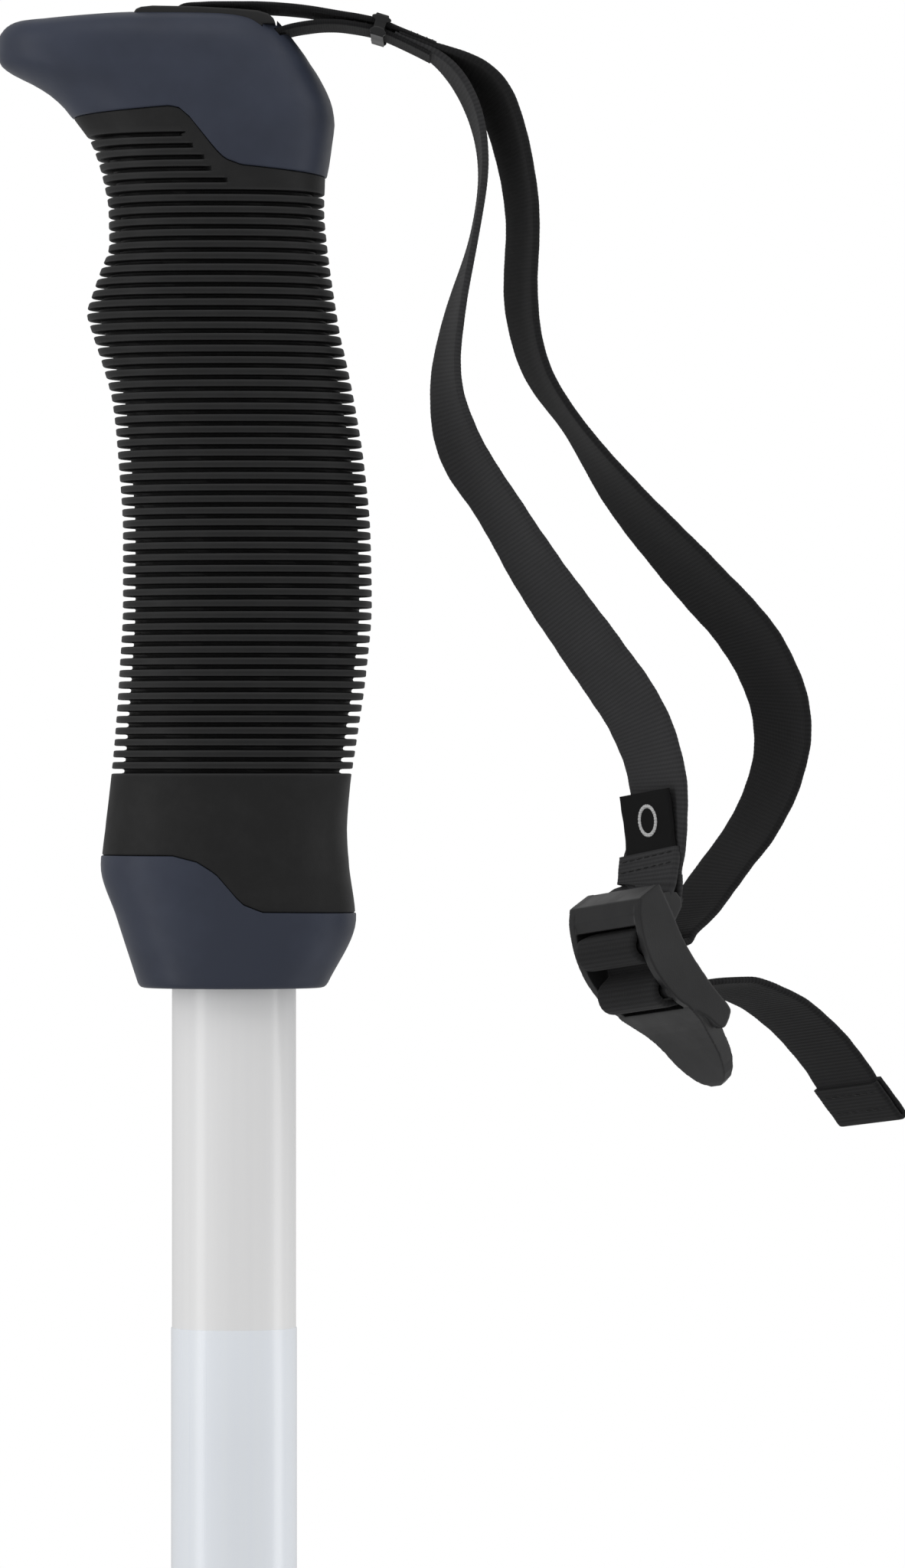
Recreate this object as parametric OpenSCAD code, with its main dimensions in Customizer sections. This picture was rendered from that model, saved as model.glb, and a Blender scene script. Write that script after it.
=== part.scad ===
// Alpine ski pole: tapered aluminium shaft, ribbed rubber grip with a hard nosed
// cap and collar, webbing wrist strap with a ladder-lock buckle, basket and tip.
// The origin is on the shaft axis at the middle of the grip. +Z runs up the shaft
// and +X points to the strap side. Millimetres.

/* [Pole] */
// Length from the tip to the top of the grip
pole_length = 1100; // [1000:50:1300]
// Height of the grip's top above the middle of the hand
grip_top = 75; // [70:1:80]
// Outer diameter of the upper shaft
shaft_d = 18; // [18:0.5:19]
// Wall thickness of the shaft tube
shaft_wall = 1.1; // [0.9:0.1:1.4]
// Outer diameter of the shaft where it enters the tip
shaft_end_d = 11; // [10:0.5:12]
// Depth below the grip's top where the coloured film starts
film_depth = 191; // [180:1:200]

/* [Grip] */
// Outer diameter of the hard core under the rubber
core_d = 21.6; // [21:0.1:22]
// Depth of the collar's flat lower end below the grip's top
grip_length = 141.7; // [140:0.1:143]

/* [Strap] */
// Width of the webbing
web_w = 15; // [14:0.5:16]
// Thickness of the loop's webbing
web_t = 1.0; // [0.9:0.1:1.1]
// Thickness of the thinner tether webbing
tether_t = 0.9; // [0.8:0.1:1]

/* [Buckle] */
// Width of the ladder lock over its rails
buckle_w = 18.5; // [18:0.1:19.5]
// Thickness of each rail
rail_t = 1.5; // [1.3:0.1:1.6]

/* [Basket and tip] */
// Diameter of the basket
basket_d = 60; // [50:1:70]
// Diameter of the seat that the basket turns on
seat_d = 15; // [14:0.5:16]
// Running clearance between the basket and its seat
basket_play = 0.06; // [0.03:0.01:0.1]
// Diameter of the tip's straight neck, which a tip cover fits
neck_d = 10; // [9:0.5:11]

/* [Hidden] */
$fn = 64;
fit = 0.05;                            // gap between pieces that are fixed together
tip_z = grip_top - pole_length;        // height of the lowest point
shaft_r = shaft_d / 2;
core_r = core_d / 2;
shaft_top_z = grip_top - 26;           // the tube ends inside the grip
shaft_low_z = tip_z + 62;              // and inside the tip's ferrule
taper_top_z = tip_z + 420;             // the tube is straight above this height
pin_pos = [-3.6, -4.9];                // x and height below the top of the anchor pin
buckle_pos = [53.6, -2.7, -129.4];     // middle of the buckle's front top edge
buckle_turn = [31, -6, -57];           // its rotation about X, then Y, then Z
sewn_bar = [5.4, -3.8];                // y and z in the buckle of the bar the loop is sewn to
upper_bar = [-1.8, -6.9];              // of the first bar that the webbing passes over
lower_bar = [-2.2, -14.1];             // of the second one
thread_r = 2.1;                        // radius of the webbing's middle around both bars

// Each station of the grip's outline: depth, lowest x, highest x, half width, squareness
grip_stations = [
    [0.00, -27.5,  1.5, 6.6, 3.2], [0.15, -29.5,  3.6, 8.6, 3.2], [0.55, -31.2,  5.4, 10.2, 3.2],
    [1.30, -32.6,  6.8, 11.4, 3.1], [2.50, -33.7,  7.6, 12.2, 3.0], [4.00, -34.0,  8.6, 12.7, 3.0],
    [6.40, -34.0, 10.1, 13.0, 2.9], [8.00, -33.5, 11.0, 13.1, 2.8], [9.20, -32.0, 11.8, 13.2, 2.7],
    [10.6, -29.2, 12.6, 13.2, 2.6], [12.2, -26.6, 13.4, 13.2, 2.5], [14.2, -24.4, 14.1, 13.1, 2.5],
    [16.6, -22.6, 14.4, 13.1, 2.4], [19.0, -20.9, 14.1, 13.1, 2.4], [22.0, -19.7, 13.7, 13.1, 2.4],
    [25.0, -18.9, 13.2, 13.2, 2.4], [29.0, -18.2, 13.1, 13.3, 2.4], [34.0, -18.1, 13.5, 13.4, 2.4],
    [38.0, -19.4, 14.0, 13.4, 2.4], [41.5, -20.6, 14.5, 13.4, 2.4], [44.0, -21.3, 14.9, 13.4, 2.4],
    [47.0, -20.5, 15.4, 13.4, 2.4], [51.0, -19.2, 16.3, 13.4, 2.4], [57.0, -17.6, 17.5, 13.5, 2.4],
    [66.0, -16.7, 18.9, 13.5, 2.4], [76.0, -16.1, 19.8, 13.5, 2.4], [86.0, -16.1, 20.0, 13.5, 2.4],
    [96.0, -16.6, 19.2, 13.5, 2.4], [106.0, -17.3, 17.8, 13.5, 2.4], [113.0, -18.0, 16.8, 13.4, 2.4],
    [119.0, -18.7, 16.4, 13.4, 2.4], [124.0, -19.2, 16.7, 13.3, 2.4], [131.5, -16.9, 17.6, 13.2, 2.4],
    [grip_length, -13.6, 13.2, 12.6, 2.2]];

// Line between the cap and the rubber, from the nose to the back: x and height
cap_line = [[-40, -17], [-22, -15.6], [-9, -14.7], [-7.6, -15], [-6.4, -15.9], [-2.4, -20.9],
            [-1, -22.3], [1.4, -23.2], [20, -24.9]];
// Line between the rubber and the collar
collar_line = [[-40, -122.4], [-8.5, -122.6], [-5, -123.5], [-2.3, -125.2], [-0.4, -127.4],
               [1.4, -129.5], [4.4, -130.7], [30, -131]];

// Webbing routes: x, y, height below the grip's top, turn of the width about the run
tether_in = [[4.6, 0, 1.0, 0], [0, 0, 1.0, 0], [-4.5, 0, 0.95, 0], [-7.6, 0, 0.2, 0],
             [-8.6, 0, -2, 0], [-7.6, 0, -4.8, 0], [-5, 0, -6.9, 0], [-1.4, 0, -7, 0],
             [3, 0, -5, 0], [6.8, 0, -3, 0]];
tether_over = [[5.0, 0, 1.0, 0], [10, 0, 0.6, 0], [15.5, 0, -0.1, 0], [21.2, 0, -1.3, 0],
               [25, 0, -2.5, 0], [29.4, 0, -4.3, 0]];
tether_under = [[7.2, 0, -2.8, 0], [11, 0, -1.9, 0], [14.5, 0, -1.8, 0], [18, 0, -2.0, 0],
                [21.2, 0, -2.8, 0], [24.4, 0, -4.6, 0], [28.3, 0, -7.4, 0]];
loop_back = [[24.6, 0, -3.6, 0], [28, 0, -4.98, 1], [32, 0, -6.7, 5], [35.4, 0, -9.2, 14],
             [38, 0, -12.6, 18], [40.4, 0, -20, 17], [41.9, 0, -30, 16], [41.6, 0, -42, 16],
             [43.8, 0, -52, 12], [49.4, 0, -60.5, 8], [57, 0, -71, 19], [67, 0, -82.2, 28],
             [75, 0, -91.4, 31], [79.2, 0.5, -101, 31], [78.8, 1, -110.2, 27],
             [75, 1.5, -118.4, 22], [72, 1.8, -123, 20]];
loop_front = [[29.0, 0, -7.4, 0], [30.6, 0, -9.0, 0], [32.3, 0, -11.2, 1], [35, 0, -16, 1],
              [36.2, 0, -23.5, 2], [34.8, 0, -33, 2], [32, 0, -44, 9], [30.7, 0, -54, 15],
              [32.8, 0, -63.5, 24], [38.2, 0, -72, 23], [44.6, 0, -82.4, 28], [52.2, 0, -93.2, 32],
              [58.4, 0, -102.4, 33], [61.4, 0.3, -111, 31], [61.7, 0.8, -119, 29],
              [60.9, 1.6, -125.6, 30]];
bridge_route = [[71.7, 1.8, -123.5, 20], [69.4, 2, -127.2, 21], [66.8, 2.5, -131, 25],
                [64.6, 3, -133.4, 30]];

// Loose end of the webbing below the buckle, in the buckle's y and z
tail_path = [[-0.4, -16.8], [2.4, -17.2], [5, -17.4], [9.9, -20], [12.2, -21.6], [14.7, -24.5],
             [17.2, -28], [19, -32], [20.1, -35.3], [20.8, -38.4], [21.3, -41.5], [21.5, -44.5]];
tab_path = [[21.55, -44.9], [21.9, -47.6], [22.3, -50.8]];

// ---- Shared geometry ----

function unit(v) = v / norm(v);

// Catmull-Rom curve through the points, with the given steps in each span
function point_at(p, i) = p[min(max(i, 0), len(p) - 1)];
function curve_point(a, b, c, d, t) =
    0.5 * (2 * b + (c - a) * t + (2 * a - 5 * b + 4 * c - d) * t * t
           + (3 * b - a - 3 * c + d) * t * t * t);
function smooth(p, steps) = concat(
    [for (i = [0:len(p) - 2], s = [0:steps - 1])
        curve_point(point_at(p, i - 1), p[i], p[i + 1], point_at(p, i + 2), s / steps)],
    [p[len(p) - 1]]);

function place(p) = [p[0], p[1], p[2]];
function run(p, i) = unit(place(point_at(p, i + 1)) - place(point_at(p, i - 1)));
function across(t) = unit([0, -1, 0] + t * t[1]);
function side(t, turn) = cos(turn) * across(t) + sin(turn) * cross(across(t), t);

// Closed solid through rings that all have the same number of points
module loft(rings) {
    n = len(rings[0]);
    last = len(rings) - 1;
    polyhedron(
        points = [for (r = rings, p = r) p],
        faces = concat(
            [[for (i = [0:n - 1]) i]],
            [for (k = [0:last - 1], i = [0:n - 1])
                [k * n + i, (k + 1) * n + i, (k + 1) * n + (i + 1) % n]],
            [for (k = [0:last - 1], i = [0:n - 1])
                [k * n + i, (k + 1) * n + (i + 1) % n, k * n + (i + 1) % n]],
            [[for (i = [n - 1:-1:0]) last * n + i]]));
}

// Flat webbing along a route, which starts from the grip's top
module webbing(route, w, t, steps = 2) {
    p = smooth(route, steps);
    translate([0, 0, grip_top])
        loft([for (i = [0:len(p) - 1])
            let (f = run(p, i), s = side(f, p[i][3]) * w / 2, n = cross(f, unit(s)) * t / 2)
            [place(p[i]) - s - n, place(p[i]) + s - n, place(p[i]) + s + n, place(p[i]) - s + n]]);
}

// One ring of the grip's outline, a rounded rectangle that is narrower at the nose
function power(v, e) = sign(v) * pow(abs(v), e);
function grip_ring(s, count) =
    let (mid = (s[1] + s[2]) / 2, half = (s[2] - s[1]) / 2)
    [for (i = [0:count - 1])
        let (a = -360 * i / count, x = power(cos(a), 2 / s[4]), y = power(sin(a), 2 / s[4]),
             pinch = 1 - 0.16 * max(0, -x) * max(0, half - 16) / 6)
        [mid + half * x, s[3] * y * pinch, grip_top - s[0]]];

module grip_outline() {
    loft([for (s = grip_stations) grip_ring(s, 40)]);
}

// Prism across the grip from an outline in x and height
module across_grip(outline, w = 60) {
    translate([0, w / 2, grip_top]) rotate([90, 0, 0]) linear_extrude(w) polygon(outline);
}

module above(line) {
    across_grip(concat(line, [[40, 20], [-50, 20], [-50, line[0][1]]]));
}

module below(line) {
    across_grip(concat(line, [[40, -170], [-50, -170], [-50, line[0][1]]]));
}

// Room for the tether on its way round the anchor pin and out of the back
module tether_channel() {
    across_grip([[-9.5, 3], [-9.5, -2.6], [-8.4, -5.4], [-5.4, -8], [-1, -8], [3.6, -5.8],
                 [16, -0.6], [16, 1.4], [6.4, -2.1], [2.4, -4.1], [-1.4, -6.1], [-4.6, -5.9],
                 [-6.6, -4.4], [-7.6, -2], [-7.5, -1.1], [-7.0, -0.5], [-6.0, 0],
                 [-4.3, 0.3], [-4.3, 3]], web_w + 0.6);
}

module at_buckle() {
    translate(buckle_pos + [0, 0, grip_top]) rotate(buckle_turn) children();
}

// Prism across the buckle from an outline in its y and z
module across_buckle(outline, w) {
    translate([-w / 2, 0, 0]) rotate([90, 0, 90]) linear_extrude(w) polygon(outline);
}

module buckle_bar(at, r, w = buckle_w) {
    translate([-w / 2, at[0], at[1]]) rotate([0, 90, 0]) cylinder(h = w, r = r, $fn = 32);
}

// ---- Shaft ----

module tube_profile(r_top, r_end, wall) {
    polygon([[r_end - wall, shaft_low_z], [r_end, shaft_low_z], [r_end, shaft_low_z + 40],
             [r_top, taper_top_z], [r_top, shaft_top_z], [r_top - wall, shaft_top_z],
             [r_top - wall, taper_top_z], [r_end - wall, shaft_low_z + 40]]);
}

module shaft() {
    color("gainsboro") rotate_extrude() tube_profile(shaft_r, shaft_end_d / 2, shaft_wall);
}

module shaft_film() {
    top = grip_top - film_depth;
    color("lavender") difference() {
        translate([0, 0, taper_top_z + 10]) cylinder(h = top - taper_top_z - 10, r = shaft_r + 0.15);
        translate([0, 0, taper_top_z]) cylinder(h = top - taper_top_z + 10, r = shaft_r);
    }
}

module shaft_plug() {
    color("dimgray") difference() {
        union() {
            translate([0, 0, shaft_top_z - 18])
                cylinder(h = 18, r = shaft_r - shaft_wall - fit);
            translate([0, 0, shaft_top_z]) cylinder(h = 1.5, r = shaft_r);
        }
        translate([0, 0, shaft_top_z - 19]) cylinder(h = 15, r = 5.5);
    }
}

// ---- Grip ----

module grip_core() {
    bottom = grip_top - grip_length + 1;
    color("dimgray") difference() {
        union() {
            translate([0, 0, bottom])
                cylinder(h = grip_top - 14 - bottom, r = core_r);
            for (z = [grip_top - 60, grip_top - 100])
                translate([0, 0, z]) cylinder(h = 3, r = core_r + 0.6);
        }
        translate([0, 0, bottom - 1])
            cylinder(h = shaft_top_z + 1.5 + fit - bottom + 1, r = shaft_r + 0.03);
    }
}

module core_room() {
    translate([0, 0, grip_top - grip_length - 5])
        cylinder(h = grip_length + 5 - 14 + fit, r = core_r + fit);
    for (z = [grip_top - 60, grip_top - 100])
        translate([0, 0, z - fit]) cylinder(h = 3 + 2 * fit, r = core_r + 0.6 + fit);
}

module grip_sleeve() {
    color([0.17, 0.17, 0.17]) difference() {
        grip_outline();
        above([for (p = cap_line) p - [0, fit]]);
        below([for (p = collar_line) p + [0, fit]]);
        core_room();
    }
}

module insert_room(gap) {
    translate([-14.2 - gap, -9 - gap, grip_top - 9.4])
        cube([18.5 + 2 * gap, 18 + 2 * gap, 12]);
}

module grip_cap() {
    color([0.22, 0.24, 0.29]) difference() {
        intersection() {
            grip_outline();
            above(cap_line);
        }
        core_room();
        insert_room(fit);
        tether_channel();
        translate([pin_pos[0], 10.8, grip_top + pin_pos[1]])
            rotate([90, 0, 0]) cylinder(h = 21.6, r = 1.5 + fit, $fn = 32);
        translate([-11.6, 0, grip_top - 12.6]) cylinder(h = 6, r = 1.1 + fit, $fn = 24);
    }
}

module grip_collar() {
    color([0.22, 0.24, 0.29]) difference() {
        intersection() {
            grip_outline();
            below(collar_line);
        }
        core_room();
    }
}

// ---- Strap anchor ----

module strap_insert() {
    color([0.15, 0.15, 0.15]) difference() {
        intersection() {
            translate([-14.2, -9, grip_top - 9.3]) cube([18.5, 18, 9.8]);
            across_grip([[-14.2, -9.3], [4.3, -9.3], [4.3, -0.1], [3.2, 0.3], [-7, 0.5],
                         [-13.4, 0.75], [-14.2, 0.1]]);
        }
        tether_channel();
        translate([pin_pos[0], 12, grip_top + pin_pos[1]])
            rotate([90, 0, 0]) cylinder(h = 24, r = 1.5 + fit, $fn = 32);
        translate([-11.6, 0, grip_top - 10]) cylinder(h = 12, r = 1.2, $fn = 24);
        translate([-11.6, 0, grip_top - 1.1]) cylinder(h = 3, r = 2, $fn = 32);
    }
}

module insert_screw() {
    color("silver") difference() {
        union() {
            translate([-11.6, 0, grip_top - 12.5]) cylinder(h = 12.5, r = 1.1, $fn = 24);
            translate([-11.6, 0, grip_top - 1.05]) cylinder(h = 1.25, r = 1.9, $fn = 32);
        }
        translate([-11.6, 0, grip_top - 0.6])
            for (a = [0, 90])
                rotate([0, 0, a]) translate([-1.1, -0.25, 0]) cube([2.2, 0.5, 2]);
    }
}

module anchor_pin() {
    color("silver") translate([pin_pos[0], 10.6, grip_top + pin_pos[1]])
        rotate([90, 0, 0]) cylinder(h = 21.2, r = 1.5, $fn = 32);
}

module tether_anchor() {
    color([0.2, 0.2, 0.2]) webbing(tether_in, web_w, tether_t);
}

// ---- Strap ----

module tether_strap() {
    color([0.2, 0.2, 0.2]) {
        webbing(tether_over, web_w, tether_t);
        webbing(tether_under, web_w, tether_t);
    }
}

// Flat moulded band with a rolled lip above and below the two tether layers
module strap_keeper() {
    color([0.13, 0.13, 0.13])
        translate([21.2, 0, grip_top - 2.05]) rotate([0, 15, 0]) difference() {
            union() {
                translate([-1.4, -8.6, -1.85]) cube([2.8, 17.2, 3.7]);
                for (z = [-1.65, 1.65])
                    translate([0, 8.6, z]) rotate([90, 0, 0]) cylinder(h = 17.2, r = 0.6, $fn = 24);
            }
            translate([-3, -web_w / 2 - 0.3, -1.48]) cube([6, web_w + 0.6, 2.96]);
        }
}

module loop_strap_back() {
    color([0.15, 0.15, 0.15]) webbing(loop_back, web_w, web_t);
}

// Sewn end: down behind the bar, round it and back up in front
sewn_wrap_r = 1.1 + fit + web_t / 2;
function wrap_arc(from, to, steps) =
    [for (i = [0:steps]) let (a = from + (to - from) * i / steps)
        [sewn_bar[0] + sewn_wrap_r * cos(a), sewn_bar[1] + sewn_wrap_r * sin(a)]];

sewn_flap = [[5.6, -0.9], [7.9, 0.4], [10.1, 2.3]];
flap_lean = atan(2.2 / 1.9);           // lean of the flap's sewn end

// Band of even thickness along a path in the buckle's y and z
function path_run(p, i) = unit(point_at(p, i + 1) - point_at(p, i - 1));
function edge_points(p, gap) =
    [for (i = [0:len(p) - 1]) let (t = path_run(p, i)) p[i] + gap * [-t[1], t[0]]];
function reversed(p) = [for (i = [len(p) - 1:-1:0]) p[i]];
function band(p, t) = concat(edge_points(p, t / 2), reversed(edge_points(p, -t / 2)));

module loop_strap_front() {
    color([0.24, 0.24, 0.24]) {
        webbing(loop_front, web_w, web_t);
        at_buckle() across_buckle(band(concat([[9.2, -1.1]], wrap_arc(-34, -214, 10), sewn_flap),
                                       web_t), web_w);
    }
}

module loop_stitching() {
    color([0.1, 0.1, 0.1]) {
        translate([25.4, 0, grip_top - 1.9]) rotate([0, 20, 0])
            for (y = [-5:2.5:5]) translate([-1.5, y - 0.3, -0.1]) cube([4, 0.6, 0.3]);
        at_buckle() translate([0, 7.94, 1.17]) rotate([-flap_lean, 0, 0])
            for (x = [-5:2.5:5]) translate([x - 0.3, -0.25, 0]) cube([0.6, 0.25, 2]);
    }
}

module strap_label() {
    color([0.05, 0.05, 0.05]) at_buckle()
        translate([2.2, -0.1, 0.1])
            across_buckle([[10.5, 3.2], [10.9, 2.9], [13.9, 10.2], [13.5, 10.4]], web_w - 2);
}

module strap_bridge() {
    color([0.15, 0.15, 0.15]) webbing(bridge_route, web_w, web_t, 3);
}

// ---- Buckle ----

// Side outline of a rail, from its front top corner down the front and up the back
rail_outline = [[0, -0.2], [-1.4, -2], [-2.5, -4.4], [-3.3, -7], [-3.6, -10], [-3.3, -13],
                [-2.5, -16], [-1.5, -18.8], [-0.7, -21.6], [-0.7, -24], [1.9, -23.4],
                [3.8, -22.2], [4.3, -21.2], [3.5, -17], [3.1, -11.5], [4.4, -8.2],
                [6.8, -6], [7.2, -3.6], [6, -2], [4.2, -0.8], [3.8, -0.2]];
// Side outline of the thumb tab
tab_outline = [[-1.6, -18.2], [-1.2, -20], [-0.9, -22], [-0.6, -26], [-0.25, -30],
               [0.1, -31.6], [0.9, -31.4], [1.3, -28], [1.3, -24], [1.1, -21], [0.6, -18.2]];

module tab_plan() {
    rotate([90, 0, 0]) translate([0, 0, -10]) linear_extrude(20) union() {
        translate([-buckle_w / 2, -21]) square([buckle_w, 4]);
        hull() {
            translate([-buckle_w / 2, -21.1]) square([buckle_w, 0.2]);
            translate([0, -25.6]) circle(r = 6);
        }
    }
}

module buckle_frame() {
    color([0.14, 0.14, 0.14]) at_buckle() {
        for (s = [-1, 1])
            translate([s * (buckle_w - rail_t) / 2, 0, 0]) intersection() {
                across_buckle(rail_outline, rail_t);
                translate([-10, -10, -21.1]) cube([20, 30, 22]);
            }
        across_buckle([[0, -0.2], [2.9, -0.2], [2.3, -1.4], [0.9, -1.6], [-0.6, -3.9],
                       [-2.1, -3.6], [-1.4, -2]], buckle_w);
        buckle_bar(sewn_bar, 1.1);
        buckle_bar(upper_bar, 1.3);
        buckle_bar([1.4, -10.5], 0.8);
        buckle_bar(lower_bar, 1.3);
        intersection() {
            across_buckle(tab_outline, buckle_w);
            tab_plan();
        }
    }
}

// Webbing over both bars, in the buckle's y and z, from its back to its back
function over_bar(c, steps) =
    [for (i = [0:steps]) let (a = 100 + 160 * i / steps) c + thread_r * [cos(a), sin(a)]];
thread_path = concat([[8.2, -9.2], [5.2, -7.6], [2.4, -6.4], [0.4, -5.4]], over_bar(upper_bar, 8),
                     [[-0.5, -9.4], [-0.2, -10.5], [-0.6, -11.6]], over_bar(lower_bar, 8),
                     tail_path);

module strap_tail() {
    color([0.22, 0.22, 0.22]) at_buckle() across_buckle(band(thread_path, web_t), web_w);
}

module tail_tab() {
    color([0.25, 0.25, 0.25])
        at_buckle() across_buckle(band(tab_path, web_t + 0.8), web_w + 0.8);
}

// ---- Tip and basket ----

seat_z = tip_z + 66;                   // middle of the basket's seat
seat_h = 14;
clip_z = tip_z + 56.9;                 // foot of the groove that the clip sits in

module tip_ferrule() {
    color([0.12, 0.12, 0.12]) difference() {
        rotate_extrude() polygon([
            [0, tip_z + 20], [3.6, tip_z + 20], [neck_d / 2, tip_z + 24], [neck_d / 2, tip_z + 44],
            [6.4, tip_z + 52], [6.4, clip_z], [5.9, clip_z], [5.9, clip_z + 1.8],
            [6.4, clip_z + 1.8], [seat_d / 2, clip_z + 2.1], [seat_d / 2, seat_z + seat_h / 2 + 0.3],
            [9.6, seat_z + seat_h / 2 + 0.3], [9.6, seat_z + seat_h / 2 + 2.6],
            [8.4, seat_z + seat_h / 2 + 5], [7.4, tip_z + 126], [6.6, tip_z + 127],
            [0, tip_z + 127]]);
        translate([0, 0, shaft_low_z - fit]) cylinder(h = 42, r = shaft_end_d / 2 + 0.03);
        translate([0, 0, shaft_low_z + 39.9]) cylinder(h = 60, r = 6.55);
        translate([0, 0, tip_z + 12]) cylinder(h = 26, r = 2.5 + 0.02, $fn = 32);
    }
}

module tip_spike() {
    color("silver") difference() {
        rotate_extrude() polygon([[0, tip_z], [2.1, tip_z], [2.6, tip_z + 3], [3.4, tip_z + 8],
            [3.6, tip_z + 19.9], [2.5, tip_z + 19.95], [2.5, tip_z + 37.5], [0, tip_z + 37.5]]);
        translate([0, 0, tip_z - 1.6]) sphere(r = 2.4, $fn = 32);
    }
}

module basket() {
    bore_r = seat_d / 2 + basket_play;
    disc_z = seat_z - 4;
    color([0.16, 0.16, 0.16]) difference() {
        rotate_extrude() polygon([
            [bore_r, seat_z - seat_h / 2 + 0.2], [10, seat_z - seat_h / 2 + 0.2],
            [12, disc_z - 1], [basket_d / 2 - 2, disc_z + 1.5], [basket_d / 2, disc_z + 3],
            [basket_d / 2, disc_z + 4.2], [basket_d / 2 - 2.5, disc_z + 3.6], [13, disc_z + 1.4],
            [10.5, disc_z + 4], [9.8, seat_z + seat_h / 2 - 0.1],
            [bore_r, seat_z + seat_h / 2 - 0.1]]);
        for (a = [0:60:300])
            rotate([0, 0, a + 30]) translate([20.5, 0, disc_z - 6])
                linear_extrude(20) polygon([[-5, -2.6], [4.5, -5.6], [4.5, 5.6], [-5, 2.6]]);
    }
}

module basket_clip() {
    color("silver") difference() {
        translate([0, 0, clip_z + 0.05]) cylinder(h = 1.7, r = 8.6);
        translate([0, 0, clip_z - 1]) cylinder(h = 4, r = 5.9 + 0.02);
        translate([0, -1.5, clip_z - 1]) cube([12, 3, 4]);
    }
}

shaft();
shaft_film();
shaft_plug();
grip_core();
grip_sleeve();
grip_cap();
grip_collar();
strap_insert();
insert_screw();
anchor_pin();
tether_anchor();
tether_strap();
strap_keeper();
loop_strap_back();
loop_strap_front();
loop_stitching();
strap_label();
strap_bridge();
buckle_frame();
strap_tail();
tail_tab();
tip_ferrule();
tip_spike();
basket();
basket_clip();
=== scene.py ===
"""Looks of an alpine ski pole: ribbed grip, navy cap and collar, webbing strap, ladder lock.

Lengths in this file are millimetres until raw_mesh turns them into metres. Heights and
depths of the grip's pieces count down from the grip's top, as in the CAD model.
"""

import math

import bmesh
import bpy
import numpy as np
from mathutils import Matrix, Vector


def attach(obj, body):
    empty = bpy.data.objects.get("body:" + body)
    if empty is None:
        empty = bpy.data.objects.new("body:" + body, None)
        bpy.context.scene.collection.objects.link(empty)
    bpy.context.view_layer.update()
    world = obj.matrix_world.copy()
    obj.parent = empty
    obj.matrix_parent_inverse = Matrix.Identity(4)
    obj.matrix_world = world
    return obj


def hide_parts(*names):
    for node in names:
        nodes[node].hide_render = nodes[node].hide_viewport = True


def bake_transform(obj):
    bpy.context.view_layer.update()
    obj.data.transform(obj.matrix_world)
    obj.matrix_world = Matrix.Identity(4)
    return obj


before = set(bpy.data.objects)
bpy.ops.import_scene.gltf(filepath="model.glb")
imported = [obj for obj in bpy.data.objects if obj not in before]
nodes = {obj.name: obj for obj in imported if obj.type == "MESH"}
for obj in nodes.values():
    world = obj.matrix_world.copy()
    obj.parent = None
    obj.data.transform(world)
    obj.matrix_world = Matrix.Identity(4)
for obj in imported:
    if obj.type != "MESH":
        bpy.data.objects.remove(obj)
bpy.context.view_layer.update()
scene = bpy.context.scene

MM = 0.001
GRIP_TOP = 75.0
TIP_Z = -1025.0
CORE_R = 10.85

# ---- Tables that start from the CAD model's ----

# Outline of the grip: depth, lowest x, highest x, half width, squareness. The first five rows
# differ from the CAD's, for the cap's rounded rim.
STATIONS = np.array([
    (0.00, -30.3, 4.6, 7.6, 3.2), (0.15, -31.3, 5.4, 8.9, 3.2), (0.55, -32.4, 6.0, 10.2, 3.2),
    (1.30, -33.3, 6.7, 11.4, 3.1), (2.50, -33.9, 7.6, 12.2, 3.0), (4.00, -34.0, 8.6, 12.7, 3.0),
    (6.40, -34.0, 10.1, 13.0, 2.9), (8.00, -33.5, 11.0, 13.1, 2.8), (9.20, -32.0, 11.8, 13.2, 2.7),
    (10.6, -29.2, 12.6, 13.2, 2.6), (12.2, -26.6, 13.4, 13.2, 2.5), (14.2, -24.4, 14.1, 13.1, 2.5),
    (16.6, -22.6, 14.4, 13.1, 2.4), (19.0, -20.9, 14.1, 13.1, 2.4), (22.0, -19.7, 13.7, 13.1, 2.4),
    (25.0, -18.9, 13.2, 13.2, 2.4), (29.0, -18.2, 13.1, 13.3, 2.4), (34.0, -18.1, 13.5, 13.4, 2.4),
    (38.0, -19.4, 14.0, 13.4, 2.4), (41.5, -20.6, 14.5, 13.4, 2.4), (44.0, -21.3, 14.9, 13.4, 2.4),
    (47.0, -20.5, 15.4, 13.4, 2.4), (51.0, -19.2, 16.3, 13.4, 2.4), (57.0, -17.6, 17.5, 13.5, 2.4),
    (66.0, -16.7, 18.9, 13.5, 2.4), (76.0, -16.1, 19.8, 13.5, 2.4), (86.0, -16.1, 20.0, 13.5, 2.4),
    (96.0, -16.6, 19.2, 13.5, 2.4), (106.0, -17.3, 17.8, 13.5, 2.4),
    (113.0, -18.0, 16.8, 13.4, 2.4), (119.0, -18.7, 16.4, 13.4, 2.4),
    (124.0, -19.2, 16.7, 13.3, 2.4), (131.5, -16.9, 17.6, 13.2, 2.4),
    (141.7, -13.6, 13.2, 12.6, 2.2)])
GRIP_LENGTH = 141.7

# Lines between the cap, the rubber and the collar: x and height
CAP_LINE = np.array([(-40, -17), (-22, -15.6), (-9, -14.7), (-7.6, -15), (-6.4, -15.9),
                     (-2.4, -20.9), (-1, -22.3), (1.4, -23.2), (20, -24.9)])
COLLAR_LINE = np.array([(-40, -122.4), (-8.5, -122.6), (-5, -123.5), (-2.3, -125.2),
                        (-0.4, -127.4), (1.4, -129.5), (4.4, -130.7), (30, -131)])

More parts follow.
